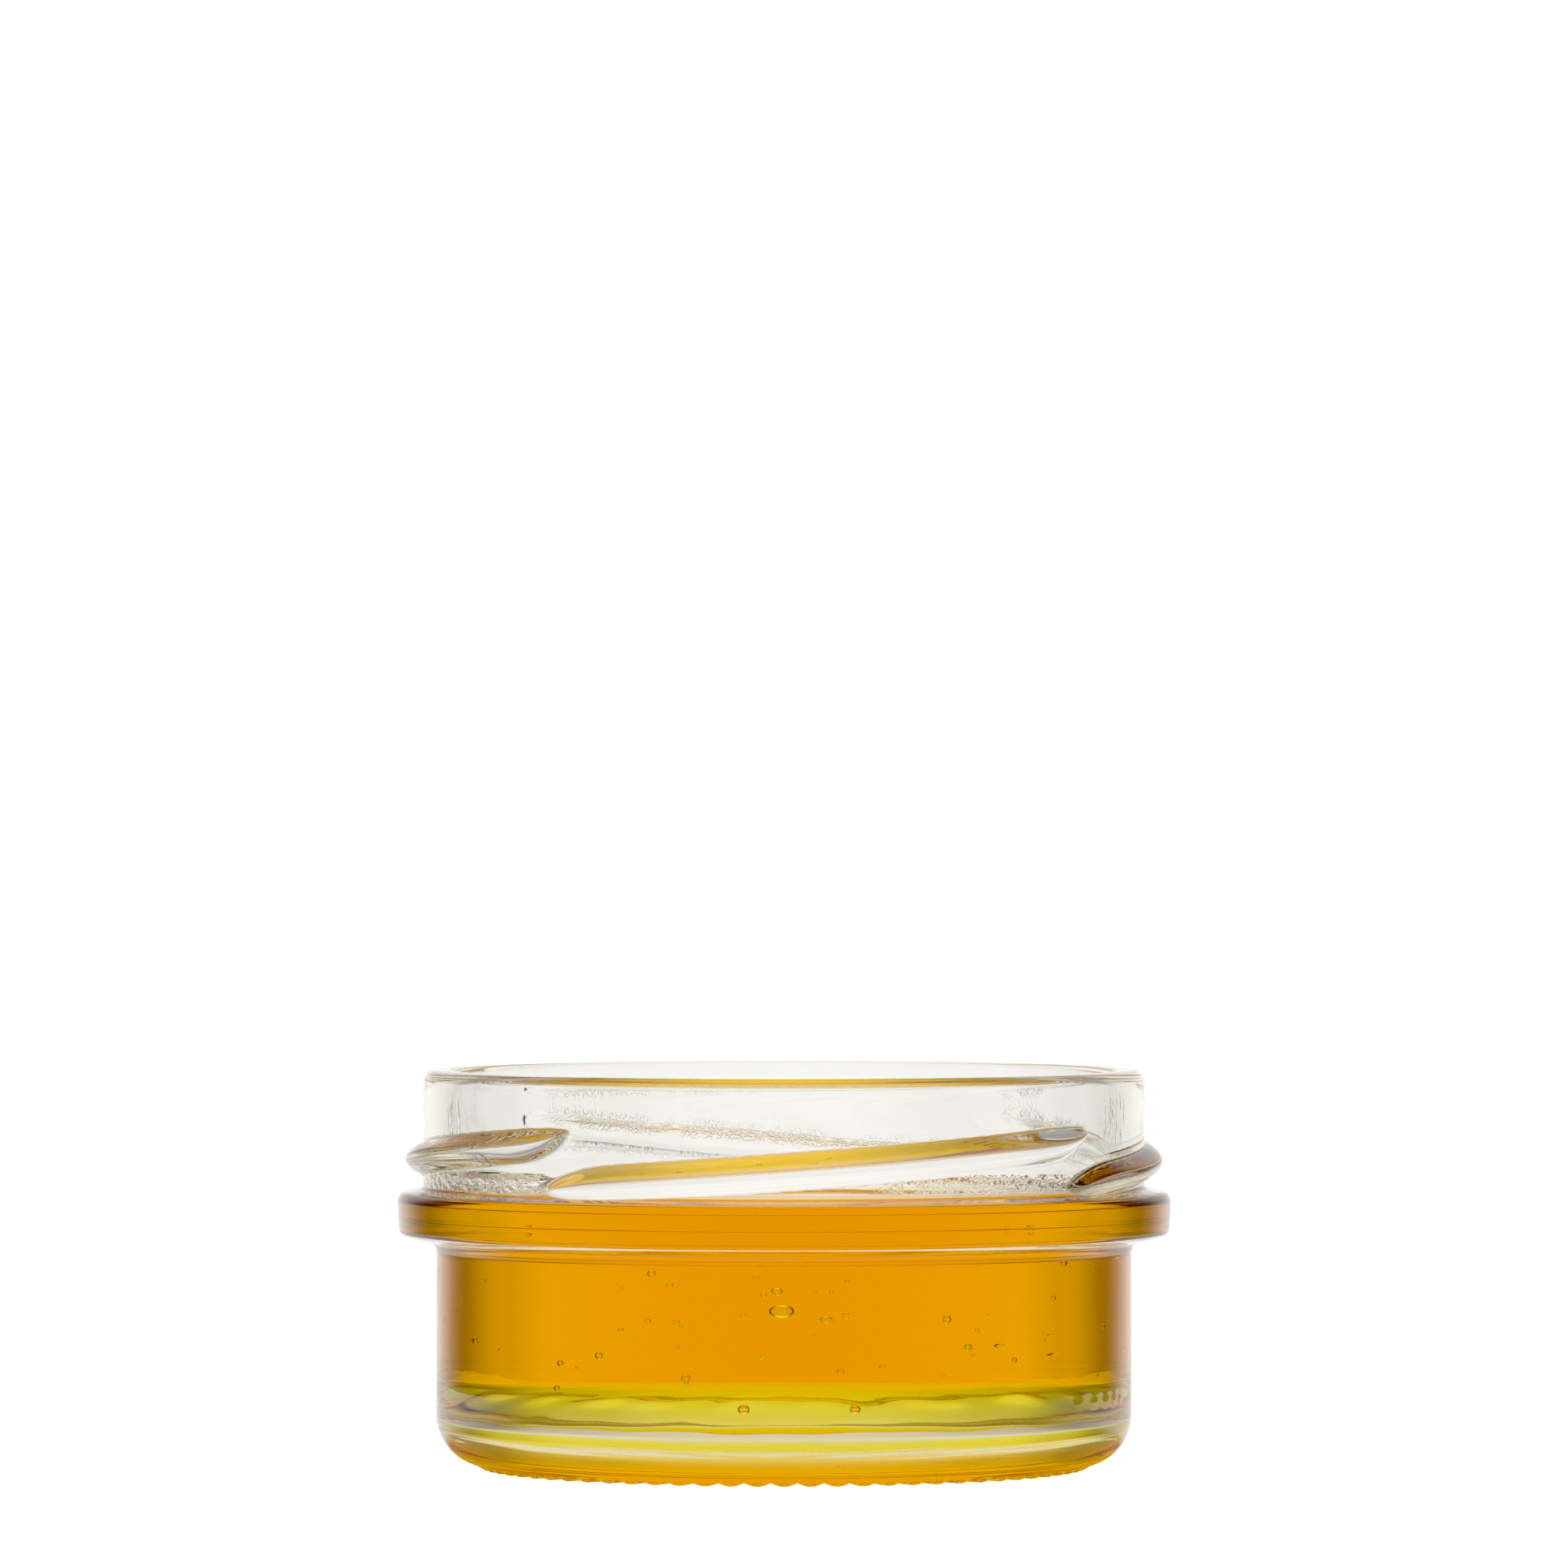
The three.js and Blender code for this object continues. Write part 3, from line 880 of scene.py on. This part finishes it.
def backdrop_world(stage):
    """A bright backdrop before and behind the jar, dimmer at the sides."""
    world = bpy.data.worlds.new("studio_backdrop")
    world.use_nodes = True
    bpy.context.scene.world = world
    nodes = world.node_tree.nodes
    links = world.node_tree.links
    place = nodes.new("ShaderNodeTexCoord")
    direction = nodes.new("ShaderNodeSeparateXYZ")
    links.new(place.outputs["Generated"], direction.inputs["Vector"])
    rising = ramp(nodes, links, direction.outputs["Z"], 0.03, 0.12, 0.0, stage.narrowing)
    ending = ramp(nodes, links, direction.outputs["Z"], 0.35, 0.5, 1.0, 0.0)
    narrow = times(nodes, links, rising, ending)
    light, forward = round_the_jar(stage, nodes, links, place.outputs["Generated"], narrow)
    lifted = nodes.new("ShaderNodeMapRange")
    lifted.inputs["From Min"].default_value = -1.0
    links.new(direction.outputs["Z"], lifted.inputs["Value"])
    up_down = stops(nodes, links, lifted.outputs["Result"], [
        (0.5 + math.sin(math.radians(angle)) / 2, brightness)
        for angle, brightness in (
            (3, 1.0),
            (11, stage.lift_light),
            (28, stage.high_light),
            (50, stage.high_light),
            (70, stage.top_light),
        )
    ])
    studio = times(nodes, links, light, up_down)

    path = nodes.new("ShaderNodeLightPath")
    behind = ramp(nodes, links, forward, 0.66, 0.95, 0.0, 1.0)
    below_top = ramp(nodes, links, direction.outputs["Z"], 0.3, 0.7, 1.0, 0.0)
    mirrored = times(nodes, links, studio, times(nodes, links, behind, below_top))
    seen = nodes.new("ShaderNodeMix")
    links.new(path.outputs["Is Reflection Ray"], seen.inputs["Factor"])
    links.new(studio, seen.inputs["A"])
    links.new(mirrored, seen.inputs["B"])
    plain = nodes.new("ShaderNodeMix")
    plain.inputs["B"].default_value = 1.0
    links.new(path.outputs["Is Camera Ray"], plain.inputs["Factor"])
    links.new(seen.outputs["Result"], plain.inputs["A"])
    links.new(plain.outputs["Result"], nodes["Background"].inputs["Strength"])
    nodes["Background"].inputs["Color"].default_value = (1.0, 1.0, 1.0, 1.0)
    return world


def set_camera(stage):
    data = bpy.data.cameras.new("photo_camera")
    data.lens = stage.lens
    data.sensor_width = 36.0
    data.clip_start = 0.05
    data.clip_end = 20.0
    camera = bpy.data.objects.new("photo_camera", data)
    camera.location = (0.0, -stage.distance, stage.eye_height)
    camera.rotation_euler = (math.radians(90), 0.0, 0.0)
    bpy.context.scene.collection.objects.link(camera)
    bpy.context.scene.camera = camera


def lay_disc(name, radius, height, material):
    bpy.ops.object.select_all(action="DESELECT")
    bpy.ops.mesh.primitive_circle_add(
        vertices=96, radius=radius, fill_type="NGON", location=(0, 0, height)
    )
    disc = bpy.context.object
    disc.name = name
    disc.data.materials.append(material)
    return disc


def lay_floor(stage):
    """The floor that is seen, and below it a glowing disc of painted light, the floor as the glass sees
    it.
    """
    floor = lay_disc("pale_floor", 4.0, 0.0, floor_material(stage))
    floor.visible_glossy = False
    floor.visible_transmission = False
    light = lay_disc("floor_light", stage.near_reach, -0.2 * MM, floor_light_material(stage))
    light.visible_camera = False
    light.visible_diffuse = False
    light.visible_shadow = False


def dress(piece, node):
    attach(piece, BODY)
    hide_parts(node)


class JAR_OT_stage(bpy.types.Operator):
    """Set the camera, the backdrop and the floor"""

    bl_idname = "jar.set_stage"
    bl_label = "Set the stage"

    def execute(self, context):
        scene = context.scene
        set_camera(scene.jar_stage)
        backdrop_world(scene.jar_stage)
        lay_floor(scene.jar_stage)
        scene.view_settings.view_transform = "Standard"
        scene.cycles.max_bounces = 24
        scene.cycles.transmission_bounces = 24
        scene.cycles.glossy_bounces = 24
        return {"FINISHED"}


class JAR_OT_glass(bpy.types.Operator):
    """Press the glass jar with its lugs, bead and barred base"""

    bl_idname = "jar.press_glass"
    bl_label = "Press the glass"

    def execute(self, context):
        sizes = context.scene.jar_sizes
        material = glass_material(sizes)
        piece = press_glass(sizes, context.scene.jar_lugs, context.scene.jar_honey, material)
        dress(piece, "glass_jar")
        return {"FINISHED"}


class JAR_OT_honey(bpy.types.Operator):
    """Pour the honey into the jar"""

    bl_idname = "jar.pour_honey"
    bl_label = "Pour the honey"

    def execute(self, context):
        scene = context.scene
        material = honey_material(scene.jar_honey)
        piece = pour_honey(scene.jar_sizes, scene.jar_lugs, scene.jar_honey, material)
        dress(piece, "honey")
        return {"FINISHED"}


class JAR_PT_panel(bpy.types.Panel):
    """Lists the steps that make the jar"""

    bl_idname = "JAR_PT_panel"
    bl_label = "Honey jar"
    bl_space_type = "VIEW_3D"
    bl_region_type = "UI"
    bl_category = "Honey jar"

    def draw(self, context):
        for operator in (JAR_OT_stage, JAR_OT_glass, JAR_OT_honey):
            self.layout.operator(operator.bl_idname)


GROUPS = {"jar_sizes": JarSizes, "jar_lugs": LugSizes, "jar_honey": HoneyLook, "jar_stage": StageLook}
CLASSES = (*GROUPS.values(), JAR_OT_stage, JAR_OT_glass, JAR_OT_honey, JAR_PT_panel)


def register():
    for cls in CLASSES:
        bpy.utils.register_class(cls)
    for name, group in GROUPS.items():
        setattr(bpy.types.Scene, name, PointerProperty(type=group))


def unregister():
    for name in GROUPS:
        delattr(bpy.types.Scene, name)
    for cls in reversed(CLASSES):
        bpy.utils.unregister_class(cls)


def main():
    register()
    bpy.ops.jar.set_stage()
    bpy.ops.jar.press_glass()
    bpy.ops.jar.pour_honey()


if __name__ == "__main__":
    main()
